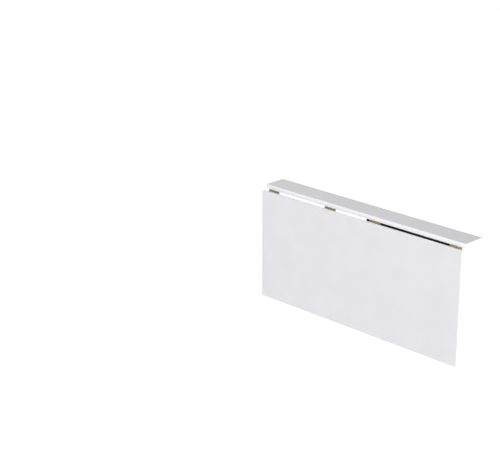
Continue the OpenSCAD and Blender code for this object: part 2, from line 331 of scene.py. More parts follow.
def mixed(material, factor, low, high, mode="MIX"):
    """Mix two colours; either may be a socket or a colour."""
    made = node(material, "ShaderNodeMix", data_type="RGBA", blend_type=mode)
    for index, value in ((0, factor), (6, low), (7, high)):
        if isinstance(value, bpy.types.NodeSocket):
            material.node_tree.links.new(value, made.inputs[index])
        else:
            made.inputs[index].default_value = value if index == 0 else (*value, 1)
    return made.outputs[2]


# %% [markdown]
# ## White melamine board
#
# The face of the board is melamine-soaked paper, pressed against a steel plate with a fine pearl
# texture. It could be a plain white, but then a large board looks like plaster. Three quiet layers
# make it melamine: the pearl itself as bump, a slight unevenness of gloss where it was wiped, and a
# barely visible cloudiness in the white.

# %% Melamine face
def melamine_face():
    material, shader = new_material("white_melamine", IOR=1.5, Coat_Weight=0.12, Coat_Roughness=0.3)
    place = object_coordinates(material)
    clouds = noise(material, place, 9, 4)
    wiped = noise(material, object_coordinates(material, (6, 40, 40)), 1, 5, 0.6)
    pearl = noise(material, place, 1300, 2)
    grain = noise(material, place, 420, 3)
    white = ramp(material, clouds, [(0.3, (0.722, 0.715, 0.731)), (0.7, (0.752, 0.745, 0.761))])
    speckle = ramp(material, pearl, [(0.3, 0.965), (0.7, 1.0)])
    feed(material, mixed(material, 1.0, white, speckle, "MULTIPLY"), shader, "Base Color")
    feed(material, ramp(material, wiped, [(0.3, 0.36), (0.75, 0.5)]), shader, "Roughness")
    bumps(material, shader, [(pearl, 0.25, 0.00005), (grain, 0.15, 0.00008)])
    return material


# %% [markdown]
# ## White edge banding
#
# The banding is a millimetre of ABS, extruded and glued on, then scraped to a small radius at its
# corners. It is whiter and smoother than the face. The scraper leaves fine lines along the edge,
# which a noise stretched along one axis gives, and the scraped arris is a little duller, which the
# Pointiness of the geometry picks out.

# %% Edge banding
def edge_banding(name, stretch):
    material, shader = new_material(name, IOR=1.52)
    lines = noise(material, object_coordinates(material, stretch), 1, 2)
    specks = noise(material, object_coordinates(material), 700, 2)
    arris = node(material, "ShaderNodeNewGeometry").outputs["Pointiness"]
    worn = ramp(material, arris, [(0.5, 0.0), (0.62, 1.0)])
    white = ramp(material, specks, [(0.3, (0.875, 0.866, 0.91)), (0.7, (0.895, 0.886, 0.93))])
    feed(material, mixed(material, worn, white, (0.9, 0.9, 0.925)), shader, "Base Color")
    gloss = ramp(material, lines, [(0.3, 0.3), (0.7, 0.4)])
    feed(material, mixed(material, worn, gloss, (0.5, 0.5, 0.5)), shader, "Roughness")
    bumps(material, shader, [(lines, 0.2, 0.00004), (specks, 0.1, 0.00003)])
    return material


# %% [markdown]
# ## Raw chipboard
#
# The shelf's wall edge isn't banded: it shows the board's pressed chips, coarse in the middle and
# fine near the faces. Voronoi cells stretched along the board are the chips, each with its own
# shade, and the gaps between them are darker and deeper.

# %% Chipboard core
def chipboard():
    material, shader = new_material("raw_chipboard", Roughness=0.85, IOR=1.4)
    place = object_coordinates(material, (0.45, 1, 1.6))
    inputs = {"Vector": place, "Scale": 420.0, "Randomness": 1.0}
    chips = node(material, "ShaderNodeTexVoronoi", inputs)
    gaps = node(material, "ShaderNodeTexVoronoi", inputs, feature="DISTANCE_TO_EDGE").outputs["Distance"]
    fibre = noise(material, place, 1800, 3)
    shade = node(material, "ShaderNodeSeparateColor", {"Color": chips.outputs["Color"]}).outputs["Red"]
    browns = [(0.0, (0.34, 0.22, 0.12)), (0.5, (0.5, 0.36, 0.21)), (1.0, (0.62, 0.47, 0.3))]
    wood = ramp(material, shade, browns)
    dark = ramp(material, gaps, [(0.0, 0.35), (0.12, 1.0)])
    feed(material, mixed(material, 1.0, wood, dark, "MULTIPLY"), shader, "Base Color")
    bumps(material, shader, [(gaps, 0.5, 0.0006), (fibre, 0.4, 0.0002)])
    return material


# %% [markdown]
# ## Brass
#
# The leaf hinges are rolled brass strip, dulled by handling. Real brass is a metal with a warm
# reflection, brushed along the strip, with brown tarnish in patches and brighter corners where it
# rubs. Anisotropy would need a tangent, so the brushing is a stretched noise in colour and bump.

# %% Brass
def brass():
    material, shader = new_material("dull_brass", Metallic=1.0, IOR=1.45)
    brushed = noise(material, object_coordinates(material, (60, 2600, 2600)), 1, 3)
    tarnish = noise(material, object_coordinates(material), 130, 5, 0.65)
    rubbed = ramp(
        material,
        node(material, "ShaderNodeNewGeometry").outputs["Pointiness"],
        [(0.5, 0.0), (0.6, 1.0)],
    )
    clean = ramp(material, brushed, [(0.25, (0.215, 0.175, 0.078)), (0.75, (0.285, 0.232, 0.106))])
    dull = ramp(material, tarnish, [(0.35, 0.0), (0.65, 0.7)])
    body = mixed(material, dull, clean, (0.16, 0.133, 0.066))
    feed(material, mixed(material, rubbed, body, (0.45, 0.38, 0.21)), shader, "Base Color")
    gloss = ramp(material, tarnish, [(0.35, 0.3), (0.65, 0.48)])
    feed(material, gloss, shader, "Roughness")
    bumps(material, shader, [(brushed, 0.35, 0.00003), (tarnish, 0.1, 0.0001)])
    return material


# %% [markdown]
# ## Black-painted timber
#
# The rail, the post and the swing frame are planed softwood under one coat of dull black paint.
# The grain still shows as relief: long rings and finer fibres along the bar, so each bar has its own
# copy of the material with the pattern stretched along its own length. On corners the paint is thin
# and lets a little brown through.

# %% Painted timber
def painted_timber(name, along, turn=(0, 0, 0)):
    """along is the bar's axis, 0, 1 or 2, before the turn."""
    material, shader = new_material(name, IOR=1.5, Specular_IOR_Level=0.12)
    rings_scale = [170.0, 170.0, 170.0]
    rings_scale[along] = 7.0
    fibre_scale = [1500.0, 1500.0, 1500.0]
    fibre_scale[along] = 45.0
    rings = noise(material, object_coordinates(material, rings_scale, turn), 1, 3, 0.6)
    fibres = noise(material, object_coordinates(material, fibre_scale, turn), 1, 4, 0.6)
    runs = noise(material, object_coordinates(material), 60, 3)
    arris = node(material, "ShaderNodeNewGeometry").outputs["Pointiness"]
    thin = ramp(material, arris, [(0.52, 0.0), (0.64, 0.6)])
    black = ramp(material, fibres, [(0.3, (0.0125, 0.0108, 0.0096)), (0.7, (0.02, 0.0175, 0.0155))])
    feed(material, mixed(material, thin, black, (0.11, 0.075, 0.05)), shader, "Base Color")
    feed(material, ramp(material, runs, [(0.3, 0.42), (0.7, 0.58)]), shader, "Roughness")
    bumps(material, shader, [(rings, 0.35, 0.0004), (fibres, 0.4, 0.00012), (runs, 0.08, 0.0003)])
    return material


# %% [markdown]
# ## Black coated steel, bright zinc, beech and rubber
#
# The post hinges are steel with a black powder coat, which has an orange-peel surface. The angles
# and the frame's screws are zinc plated: a grey metal with faint crystal patches and a blue cast.
# The dowels are bare beech with short dark flecks, and the pad is matt moulded rubber.

# %% Black coated steel
def black_steel():
    material, shader = new_material("black_coated_steel", IOR=1.5, Specular_IOR_Level=0.2)
    peel = noise(material, object_coordinates(material), 900, 2)
    dust = noise(material, object_coordinates(material), 150, 4)
    arris = node(material, "ShaderNodeNewGeometry").outputs["Pointiness"]
    worn = ramp(material, arris, [(0.53, 0.0), (0.66, 0.8)])
    black = ramp(material, dust, [(0.3, (0.014, 0.013, 0.012)), (0.7, (0.022, 0.02, 0.0185))])
    feed(material, mixed(material, worn, black, (0.16, 0.155, 0.15)), shader, "Base Color")
    feed(material, ramp(material, dust, [(0.3, 0.32), (0.7, 0.45)]), shader, "Roughness")
    bumps(material, shader, [(peel, 0.3, 0.00006)])
    return material


# %% Zinc plate
def zinc_plate():
    material, shader = new_material("zinc_plate", Metallic=1.0, IOR=1.5)
    place = object_coordinates(material)
    inputs = {"Vector": place, "Scale": 650.0}
    spangle = node(material, "ShaderNodeTexVoronoi", inputs).outputs["Color"]
    patch = node(material, "ShaderNodeSeparateColor", {"Color": spangle}).outputs["Green"]
    scratches = noise(material, object_coordinates(material, (400, 2400, 900)), 1, 3)
    feed(
        material,
        ramp(material, patch, [(0.0, (0.6, 0.61, 0.63)), (1.0, (0.74, 0.75, 0.78))]),
        shader,
        "Base Color",
    )
    feed(material, ramp(material, scratches, [(0.3, 0.22), (0.7, 0.4)]), shader, "Roughness")
    bumps(material, shader, [(scratches, 0.25, 0.00003)])
    return material


# %% Beech and rubber
def bare_beech():
    material, shader = new_material("bare_beech", Roughness=0.6, IOR=1.45)
    fleck = noise(material, object_coordinates(material, (90, 1100, 1100)), 1, 3, 0.6)
    browns = [(0.3, (0.36, 0.22, 0.12)), (0.5, (0.56, 0.39, 0.24)), (0.8, (0.64, 0.47, 0.31))]
    feed(material, ramp(material, fleck, browns), shader, "Base Color")
    bumps(material, shader, [(fleck, 0.4, 0.0001)])
    return material


def moulded_rubber():
    material, shader = new_material("moulded_rubber", IOR=1.5)
    bloom = noise(material, object_coordinates(material), 260, 4)
    pores = noise(material, object_coordinates(material), 2200, 2)
    feed(material, ramp(material, bloom, [(0.3, 0.028), (0.7, 0.05)]), shader, "Base Color")
    feed(material, ramp(material, bloom, [(0.3, 0.62), (0.7, 0.8)]), shader, "Roughness")
    bumps(material, shader, [(pores, 0.4, 0.00008)])
    return material


FACE = melamine_face()
BAND_LONG = edge_banding("edge_band_long", (30, 3000, 3000))
BAND_SHELF_END = edge_banding("edge_band_shelf_end", (3000, 30, 3000))
BAND_LEAF_END = edge_banding("edge_band_leaf_end", (3000, 3000, 30))
CORE = chipboard()
BRASS = brass()
STEEL = black_steel()
ZINC = zinc_plate()
BEECH = bare_beech()
RUBBER = moulded_rubber()
print("materials:", len(bpy.data.materials))

# %% [markdown]
# ## The two boards
#
# Each board is a panel with its edges banded. The panel's arrises are broken by a tenth of a
# millimetre, which leaves the hairline between face and banding. The screw holes are drilled from
# the underside: they are hidden when the hinges are on, but a board off the desk would show them.

# %% Boards
HAIRLINE = 0.00012
HINGES = ("left", "inner_left", "inner_right", "right")
SCREW_PITCH = 0.030
SCREW_OUT = 0.012
SCREW_LENGTH = 0.014
SCREW_R = 0.00175
HEAD_R = 0.0037
PLATE_T = 0.002
FIT = 0.00005
MARGIN = 0.001
NEAR = 1e-5


def middle(node_name):
    low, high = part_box(node_name)
    return (low + high) / 2


hinge_xs = [middle(f"{name}_hinge_pin").x for name in HINGES]
shelf_low, shelf_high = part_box("shelf_panel")
leaf_low, leaf_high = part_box("leaf_panel")
rise = shelf_low.z - leaf_pin.z
print("hinges at x =", [round(x, 3) for x in hinge_xs])
print("pin", round(rise * 1000, 2), "mm under the shelf")


def screw_points(centres, offset, step):
    """The two screw places of each hinge: its centre, plus the offset, half a pitch either way."""
    half = step / 2
    return [Vector(c) + Vector(offset) + side * half for c in centres for side in (-1, 1)]


def drill_points(obj, points, direction, rings):
    """Drill the same turned hole at each point."""
    return cut(obj, *[turned("drill", rings, point, direction) for point in points])


pilot = [(PLATE_T - MARGIN, SCREW_R + FIT), (PLATE_T + SCREW_LENGTH, SCREW_R + FIT)]
pitch_x = Vector((SCREW_PITCH, 0, 0))
seam_centres = [(x, leaf_pin.y, leaf_pin.z) for x in hinge_xs]
shelf_screw_points = screw_points(seam_centres, (0, SCREW_OUT, rise - PLATE_T), pitch_x)
leaf_screw_points = screw_points(seam_centres, (0, -rise + PLATE_T, -SCREW_OUT), pitch_x)

shelf = add_block("shelf_board", shelf_low, shelf_high)
bevel(shelf, HAIRLINE, 1)
drill_points(shelf, shelf_screw_points, (0, 0, 1), pilot)

leaf = add_block("leaf_board", leaf_low, leaf_high)
bevel(leaf, HAIRLINE, 1)
drill_points(leaf, leaf_screw_points, (0, -1, 0), pilot)
print("boards made")

# %% [markdown]
# The shelf's wall edge gets the chipboard as a second material. Its faces are those that look at
# the wall and lie on it.

# %% Chipboard on the wall edge
shelf.data.materials.append(FACE)
shelf.data.materials.append(CORE)
for face in shelf.data.polygons:
    on_wall = face.normal.y > 0.9 and face.center.y > shelf_high.y - HAIRLINE
    face.material_index = 1 if on_wall else 0
finish_piece(shelf, FACE, "wall_unit", "white_board", "shelf_panel")
finish_piece(leaf, FACE, "leaf", "white_board", "leaf_panel")

# %% [markdown]
# ## Edge bands
#
# A band is a flat strip, so it could stay a block. The real one is scraped round at its two outer
# arrises after it is glued on, and this is what catches the light along the desk's edge. The edges
# round the strip's outer face are bevelled with a larger radius than the hairline, and the rest are
# left square.

# %% Banding strips
SCRAPE = 0.0007


def banding(node_name, outward, material, body):
    """A strip whose outer long arrises are scraped round. outward is the side that looks out."""
    low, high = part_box(node_name)
    outward = Vector(outward)
    strip = add_block(node_name + "_strip", low, high)
    face_at = max(outward.dot(low), outward.dot(high))

    def outer(edge):
        return all(abs(outward.dot(v.co) - face_at) < HAIRLINE for v in edge.verts)

    bevel(strip, SCRAPE, 4, outer)
    return finish_piece(strip, material, body, "edge_band", node_name)


banding("shelf_front_band", (0, -1, 0), BAND_LONG, "wall_unit")
banding("shelf_left_band", (-1, 0, 0), BAND_SHELF_END, "wall_unit")
banding("shelf_right_band", (1, 0, 0), BAND_SHELF_END, "wall_unit")
banding("leaf_seam_band", (0, 0, 1), BAND_LONG, "leaf")
banding("leaf_front_band", (0, 0, -1), BAND_LONG, "leaf")
banding("leaf_left_band", (-1, 0, 0), BAND_LEAF_END, "leaf")
banding("leaf_right_band", (1, 0, 0), BAND_LEAF_END, "leaf")

# %% [markdown]
# ## Butt hinges, rolled from sheet
#
# A hinge half is one strip of sheet. It is notched where the other half's knuckles go, and what is
# left of that edge is rolled round the pin. It could be a plate fused with short tubes, but rolling
# it is how it is made, and gives the true shape of the curl. A row of faces is the strip, the
# edges of its own knuckles are extruded to the pin and spun round it, and Solidify gives the sheet
# its thickness.

# %% A rolled hinge half
KNUCKLES = 5
KNUCKLE_GAP = 0.0003
ROLL_TURN = math.radians(285)
ROLL_STEPS = 22


def flat_strip(name, length, width, notch, level):
    """One row of faces from the notches to the plate's edge, cut where knuckles begin and end."""
    deselect_all()
    bpy.ops.mesh.primitive_plane_add(size=1, location=(0, (notch + width) / 2, level))
    bpy.context.object.scale = (length, width - notch, 1)
    strip = settle(name)
    in_edit_mode(strip, "FACE")
    for number in range(1, KNUCKLES):
        for side in (-1, 1):
            at = (number / KNUCKLES - 0.5) * length + side * KNUCKLE_GAP / 2
            bpy.ops.mesh.select_all(action="SELECT")
            bpy.ops.mesh.bisect(plane_co=(at, 0, 0), plane_no=(1, 0, 0))
    bpy.ops.object.mode_set(mode="OBJECT")
    return strip


def rolled_half(name, length, width, thick, pin_r, lift, own):
    """The pin lies along X through the origin, the plate towards +Y, its mounting face at z = lift."""
    roll_r = pin_r + FIT + thick / 2
    over = 1 if lift > 0 else -1
    notch = roll_r + thick / 2 + KNUCKLE_GAP
    level = lift - thick / 2
    reach = (0.5 * length - KNUCKLE_GAP) / KNUCKLES
    strip = flat_strip(name, length, width, notch, level)
    for number in own:
        centre = ((number + 0.5) / KNUCKLES - 0.5) * length
        mesh = in_edit_mode(strip, "EDGE")
        for edge in mesh.edges:
            middle_x = (edge.verts[0].co.x + edge.verts[1].co.x) / 2
            on_notch = all(abs(v.co.y - notch) < NEAR for v in edge.verts)
            edge.select_set(on_notch and abs(middle_x - centre) < reach)
        bmesh.update_edit_mesh(strip.data)
        bpy.ops.mesh.extrude_edges_move(
            TRANSFORM_OT_translate={"value": (0, -notch, over * roll_r - level)}
        )
        bpy.ops.mesh.spin(
            steps=ROLL_STEPS,
            angle=-over * ROLL_TURN,
            center=(0, 0, 0),
            axis=(1, 0, 0),
        )
        bpy.ops.object.mode_set(mode="OBJECT")
    return strip


# %% [markdown]
# The sheet still has to be thickened, its corners broken and its holes countersunk. The spin leaves
# doubled points at the pin, so they are merged and the normals are made consistent first: Solidify
# would otherwise thicken part of the roll the wrong way.

# %% Thickening and countersinking
LEAD = 0.0003
HEAD_ROOM = 0.0005
PLATE_ARRIS = 0.0002


def screw_room(length, r=SCREW_R, head=HEAD_R, sunk=0.0):
    """Rings of the room for a countersunk screw whose rim is at height 0."""
    rings = [(-LEAD, head + FIT + LEAD), (head - r, r + FIT), (length, r + FIT)]
    if sunk:
        wide = head + HEAD_ROOM
        rings = [(-sunk - MARGIN, wide), (0, wide), (0, head + FIT)] + rings[1:]
    return rings


def thickened(strip, thick):
    """Turn the rolled surface into sheet of the given thickness, with its corners broken."""
    in_edit_mode(strip, "VERT")
    bpy.ops.mesh.select_all(action="SELECT")
    bpy.ops.mesh.remove_doubles(threshold=1e-6)
    bpy.ops.mesh.normals_make_consistent(inside=False)
    bpy.ops.object.mode_set(mode="OBJECT")
    only(strip)
    solid = strip.modifiers.new("sheet", "SOLIDIFY")
    solid.thickness = thick
    solid.offset = 0
    solid.use_even_offset = True
    bpy.ops.object.modifier_apply(modifier=solid.name)
    soft = strip.modifiers.new("arris", "BEVEL")
    soft.width = PLATE_ARRIS
    soft.segments = 2
    soft.limit_method = "ANGLE"
    soft.angle_limit = math.radians(50)
    bpy.ops.object.modifier_apply(modifier=soft.name)
    return strip


def hinge_half(name, length, width, thick, pin_r, lift, own):
    """A rolled half with its two countersunk holes; own are the numbers of its knuckles."""
    strip = thickened(rolled_half(name, length, width, thick, pin_r, lift, own), thick)
    holes = [Vector((x, SCREW_OUT, lift - thick)) for x in (-SCREW_PITCH / 2, SCREW_PITCH / 2)]
    return smooth(drill_points(strip, holes, (0, 0, 1), screw_room(2 * thick + SCREW_R)))


# %% [markdown]
# The leaf hinges are made once, in the open position about their own pin, and then copied to the
# four places. The leaf's half is the same strip turned half round about the vertical, and then
# hung with the leaf by a quarter turn about the pin.

# %% Leaf hinges
pin_low, pin_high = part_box("left_hinge_pin")
plate_low, plate_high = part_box("left_hinge_shelf_plate")
hinge_l = plate_high.x - plate_low.x
hinge_w = plate_high.y - leaf_pin.y
knuckle_r = leaf_pin.z - plate_low.z
leaf_pin_r = knuckle_r - PLATE_T - FIT
half_turn = Matrix.Rotation(math.pi, 4, "Z")
hang = Matrix.Rotation(math.pi / 2, 4, "X")

three = hinge_half("three_knuckles", hinge_l, hinge_w, PLATE_T, leaf_pin_r, rise, (0, 2, 4))
two = hinge_half("two_knuckles", hinge_l, hinge_w, PLATE_T, leaf_pin_r, rise, (1, 3))
for name, x in zip(HINGES, hinge_xs):
    place = Matrix.Translation((x, leaf_pin.y, leaf_pin.z))
    upper = copy_of(three, f"{name}_hinge_upper_half", place)
    lower = copy_of(two, f"{name}_hinge_lower_half", place @ hang @ half_turn)
    finish_piece(upper, BRASS, "wall_unit", "brass", f"{name}_hinge_shelf_plate")
    finish_piece(lower, BRASS, "leaf", "brass", f"{name}_hinge_leaf_plate")
for done in (three, two):
    bpy.data.objects.remove(done)

# %% [markdown]
# ## Hinge pins
#
# A pin is a length of wire whose ends are peened over, so that it can't fall out. It is a turned
# shape, and three rings at each end make the low dome of a hammered end.

# %% Pins
def peened_pin(name, length, radius, crown, dome):
    """A wire along X whose two ends are hammered into low domes."""
    head = [(0, crown), (0.5 * dome, 0.9 * crown), (dome, 0.55 * crown)]
    top = [(length / 2 + z, r) for z, r in head]
    bottom = [(-z, r) for z, r in reversed(top)]
    rings = bottom + [(-length / 2, radius), (length / 2, radius)] + top
    return turned(name, rings, toward=(1, 0, 0), sides=28)


dome_h = ((pin_high.x - pin_low.x) - hinge_l) / 2
crown_r = (pin_high.z - pin_low.z) / 2
pin = peened_pin("pin", hinge_l, leaf_pin_r, crown_r, dome_h)
for name, x in zip(HINGES, hinge_xs):
    piece = copy_of(pin, f"{name}_hinge_wire_pin", Matrix.Translation((x, leaf_pin.y, leaf_pin.z)))
    finish_piece(piece, BRASS, "wall_unit", "brass", f"{name}_hinge_pin")
bpy.data.objects.remove(pin)

# %% [markdown]
# ## Wood screws
#
# Every screw here is a countersunk cross-recess screw. Its outline is turned: a circle is extruded
# and scaled ring by ring, from the rim of the head down the cone and along the thread. The thread
# is a row of ridges, which is all that could ever be seen of it. The recess is cut with two crossed
# tapered blades.

# %% One screw
THREAD_STEP = 0.0011


def thread(start, length, crest, core, tip_h):
    """Rings of valleys and crests down to the tip, as (height, radius) pairs."""
    rings = []
    z = start
    while z + THREAD_STEP < length:
        left = min(1, (length - z) / tip_h)
        rings += [(z, core * left), (z + THREAD_STEP / 2, crest * max(left, 0.2))]
        z += THREAD_STEP
    return rings + [(length, core * 0.1)]


def wood_screw(name, length, radius=SCREW_R, head=HEAD_R):
    """A screw that points along +Z, with its head's rim at z = 0."""
    cone_h = head - radius
    rings = [(0, head), (cone_h, radius), (cone_h + THREAD_STEP, radius)]
    rings += thread(cone_h + 1.5 * THREAD_STEP, length, radius, radius * 0.7, 2.2 * radius)
    return turned(name, rings)


def cross_recess(screw, head):
    """Cut a cross with two blades that narrow towards their tips into the head."""
    deep, wide, long = head * 0.55, head * 0.13, head * 0.62
    for turn in (0, math.pi / 2):
        blade = add_block("blade", (-long, -wide, -MARGIN / 2), (long, wide, deep))
        mesh = in_edit_mode(blade, "VERT")
        for v in mesh.verts:
            v.select_set(v.co.z > deep / 2)
        bmesh.update_edit_mesh(blade.data)
        bpy.ops.transform.resize(value=(0.3, 0.7, 1), center_override=(0, 0, deep))
        bpy.ops.object.mode_set(mode="OBJECT")
        blade.data.transform(Matrix.Rotation(turn, 4, "Z"))
        cut(screw, blade)
    return screw


# %% [markdown]
# A row of screws is one piece, as its CAD node is. Each copy is turned by its own angle, because
# nobody lines up the recesses. The angles come from the row's order, so the result never changes.

# %% Rows of screws
TURN_STEP = math.radians(37)


def screw_row(node_name, points, direction, length, material, body, slot, r=SCREW_R, head=HEAD_R):
    """One screw at each point. direction is the way they all go, or a list with each one's way."""
    pattern = smooth(cross_recess(wood_screw("pattern", length, r, head), head))
    row = []
    for i, point in enumerate(points):
        toward = direction[i] if isinstance(direction, list) else direction
        aim = pointing(toward) @ Matrix.Rotation(i * TURN_STEP, 4, "Z")
        row.append(copy_of(pattern, f"{node_name}_{i}", Matrix.Translation(point) @ aim))
    bpy.data.objects.remove(pattern)
    return finish_piece(joined(node_name + "_row", row), material, body, slot, node_name)


screw_row("shelf_plate_screws", shelf_screw_points, (0, 0, 1), SCREW_LENGTH, BRASS, "wall_unit", "brass")
screw_row("leaf_plate_screws", leaf_screw_points, (0, -1, 0), SCREW_LENGTH, BRASS, "leaf", "brass")

# %% [markdown]
# ## Wall rail and wall post
#
# Both are planed bars. Their arrises are eased with glass paper, which is a bevel of about a
# millimetre on every edge. The wall holes are drilled after that, so their rims stay sharp. The
# post's screw heads are sunk into its front.

# %% Timber bars
EASE = 0.0009
RAIL_HOLES_OUTER = 0.800
RAIL_HOLES_INNER = 0.400
WALL_HOLE_R = 0.00275
WALL_HEAD_SINK = 0.010


def timber_bar(name, low, high):
    return bevel(add_block(name, low, high), EASE, 3)


rail_low, rail_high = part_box("wall_rail")
rail = timber_bar("wall_rail_bar", rail_low, rail_high)
rail_hole_xs = [side * span / 2 for span in (RAIL_HOLES_OUTER, RAIL_HOLES_INNER) for side in (-1, 1)]
rail_wall_holes = [Vector((x, rail_low.y, 0)) for x in rail_hole_xs]
through = rail_high.y - rail_low.y + MARGIN
drill_points(rail, rail_wall_holes, (0, 1, 0), screw_room(through, WALL_HOLE_R, 2 * WALL_HOLE_R))
finish_piece(rail, painted_timber("painted_rail", 0), "wall_unit", "black_timber", "wall_rail")

# %% Wall post
POST_HOLE_ZS = (-0.120, -0.360)
post_low, post_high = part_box("wall_post")
post = timber_bar("wall_post_bar", post_low, post_high)
notch_low = Vector((post_low.x - MARGIN, rail_low.y, rail_low.z))
notch_high = Vector((post_high.x + MARGIN, MARGIN, post_high.z + MARGIN))
cut(post, add_block("notch", notch_low, notch_high))
post_x = (post_low.x + post_high.x) / 2
bore, mouth = WALL_HOLE_R, 2.2 * WALL_HOLE_R
post_bore = [(-MARGIN, mouth), (WALL_HEAD_SINK, mouth), (WALL_HEAD_SINK, bore)]
post_bore += [(post_high.y - post_low.y + MARGIN, bore)]
drill_points(post, [Vector((post_x, post_low.y, z)) for z in POST_HOLE_ZS], (0, 1, 0), post_bore)
finish_piece(post, painted_timber("painted_post", 2), "wall_unit", "black_timber", "wall_post")

# %% [markdown]
# ## Swing frame
#
# The frame is a stile, an arm and a brace, with a packer and a rubber pad on the arm's tip. It is
# stored folded, so its bars run along X here. The brace is the one slanted piece: a bar whose ends
# are sheared to lie flat on the stile and under the arm, which is done by moving its end faces'
# points in edit mode.

# %% Stile, arm and packer
HEAD_SINK = 0.006
BRACE_SCREW_R = 0.002
BRACE_HEAD_R = 0.004
BRACE_SCREW_L = 0.050
DRILL_DEEP = 0.040
BRACE_W = 0.022
stile_low, stile_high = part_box("swing_stile")
arm_low, arm_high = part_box("swing_arm")
packer_low, packer_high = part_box("arm_packer")
brace_low, brace_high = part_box("swing_brace")
bar_y = (stile_low.y + stile_high.y) / 2
run, fall = brace_high.x - brace_low.x, brace_high.z - brace_low.z
slope = math.hypot(run, fall)
foot_h, head_w = BRACE_W * slope / run, BRACE_W * slope / fall
foot_at = Vector((stile_low.x + HEAD_SINK, bar_y, brace_low.z + foot_h / 2))
head_at = Vector((brace_high.x - head_w / 2, bar_y, arm_high.z - HEAD_SINK))

stile = timber_bar("swing_stile_bar", stile_low, stile_high)
brace_room = screw_room(DRILL_DEEP, BRACE_SCREW_R, BRACE_HEAD_R, HEAD_SINK)
drill_points(stile, [foot_at], (1, 0, 0), brace_room)
arm = timber_bar("swing_arm_bar", arm_low, arm_high)
drill_points(arm, [head_at], (0, 0, -1), brace_room)
packer = timber_bar("arm_packer_block", packer_low, packer_high)
finish_piece(stile, painted_timber("painted_stile", 2), "swing_frame", "black_timber", "swing_stile")
along_x = painted_timber("painted_arm", 0)
finish_piece(arm, along_x, "swing_frame", "black_timber", "swing_arm")
finish_piece(packer, along_x, "swing_frame", "black_timber", "arm_packer")

# %% Brace
brace_middle = middle("swing_brace")
brace = add_block("swing_brace_bar", brace_low, brace_high)
mesh = in_edit_mode(brace, "VERT")
for v in mesh.verts:
    low_end = v.co.x < brace_middle.x
    under = v.co.z < brace_middle.z
    if low_end:
        v.co.z = brace_low.z + (0 if under else foot_h)
    else:
        v.co.x = brace_high.x - (0 if under else head_w)
        v.co.z = brace_high.z
bmesh.update_edit_mesh(brace.data)
bpy.ops.object.mode_set(mode="OBJECT")
bevel(brace, EASE, 3, lambda edge: abs(edge.verts[0].co.x - edge.verts[1].co.x) > run / 2)
tilt = (0, math.atan2(fall, run), 0)
finish_piece(brace, painted_timber("painted_brace", 0, tilt), "swing_frame", "black_timber", "swing_brace")

# %% [markdown]
# The rubber pad has shallow ribs across it, so that it grips the leaf. It starts as a grid, which is
# extruded to its height, and every other row of its top faces is inset and pushed down.

# %% Ribbed pad
RIBS = 12
RIB_DEEP = 0.0005
RIB_INSET = 0.0003
rows = 2 * RIBS + 1
pad_low, pad_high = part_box("arm_pad")
deselect_all()
bpy.ops.mesh.primitive_grid_add(x_subdivisions=rows, y_subdivisions=1, size=1, location=(0, 0, 0))
pad = bpy.context.object
pad.scale = (pad_high.x - pad_low.x, pad_high.y - pad_low.y, 1)
pad.location = ((pad_low.x + pad_high.x) / 2, (pad_low.y + pad_high.y) / 2, pad_low.z)
settle("arm_pad_ribbed")
in_edit_mode(pad, "FACE")
bpy.ops.mesh.select_all(action="SELECT")
bpy.ops.mesh.extrude_region_move(TRANSFORM_OT_translate={"value": (0, 0, pad_high.z - pad_low.z)})
bpy.ops.object.mode_set(mode="OBJECT")
mesh = in_edit_mode(pad, "FACE")
row_w = (pad_high.x - pad_low.x) / rows
for face in mesh.faces:
    centre = face.calc_center_median()
    number = int((centre.x - pad_low.x) / row_w)
    on_top = face.normal.z > 0.9 and centre.z > pad_high.z - NEAR
    face.select_set(on_top and number % 2 == 1)
bmesh.update_edit_mesh(pad.data)
bpy.ops.mesh.inset(thickness=RIB_INSET, use_individual=True)
bpy.ops.transform.translate(value=(0, 0, -RIB_DEEP))
bpy.ops.mesh.select_all(action="SELECT")
bpy.ops.mesh.normals_make_consistent(inside=False)
bpy.ops.object.mode_set(mode="OBJECT")
finish_piece(pad, RUBBER, "swing_frame", "rubber", "arm_pad")

# %% [markdown]
# ## Post hinges
#
# The post hinges are the same kind of hinge in black steel, upright, with a thinner sheet and a pin
# that sits in the groove between post and stile. They are made lying down like the others and
# stood up by a quarter turn; the stile's half turns with the folded frame.

# %% Post hinges and their screws
POST_PLATE_T = 0.0012
POST_HINGES = ("upper_post_hinge", "lower_post_hinge")
post_plate_low, post_plate_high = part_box("upper_post_hinge_wall_plate")
post_hinge_l = post_plate_high.z - post_plate_low.z
post_hinge_w = post_plate_high.y - post_pin.y
post_knuckle_r = post_pin.y - post_plate_low.y
post_pin_r = post_knuckle_r - POST_PLATE_T - FIT
stand = Matrix.Rotation(-math.pi / 2, 4, "Y")
fold = Matrix.Rotation(math.pi / 2, 4, "Z")
post_zs = [middle(f"{name}_pin").z for name in POST_HINGES]

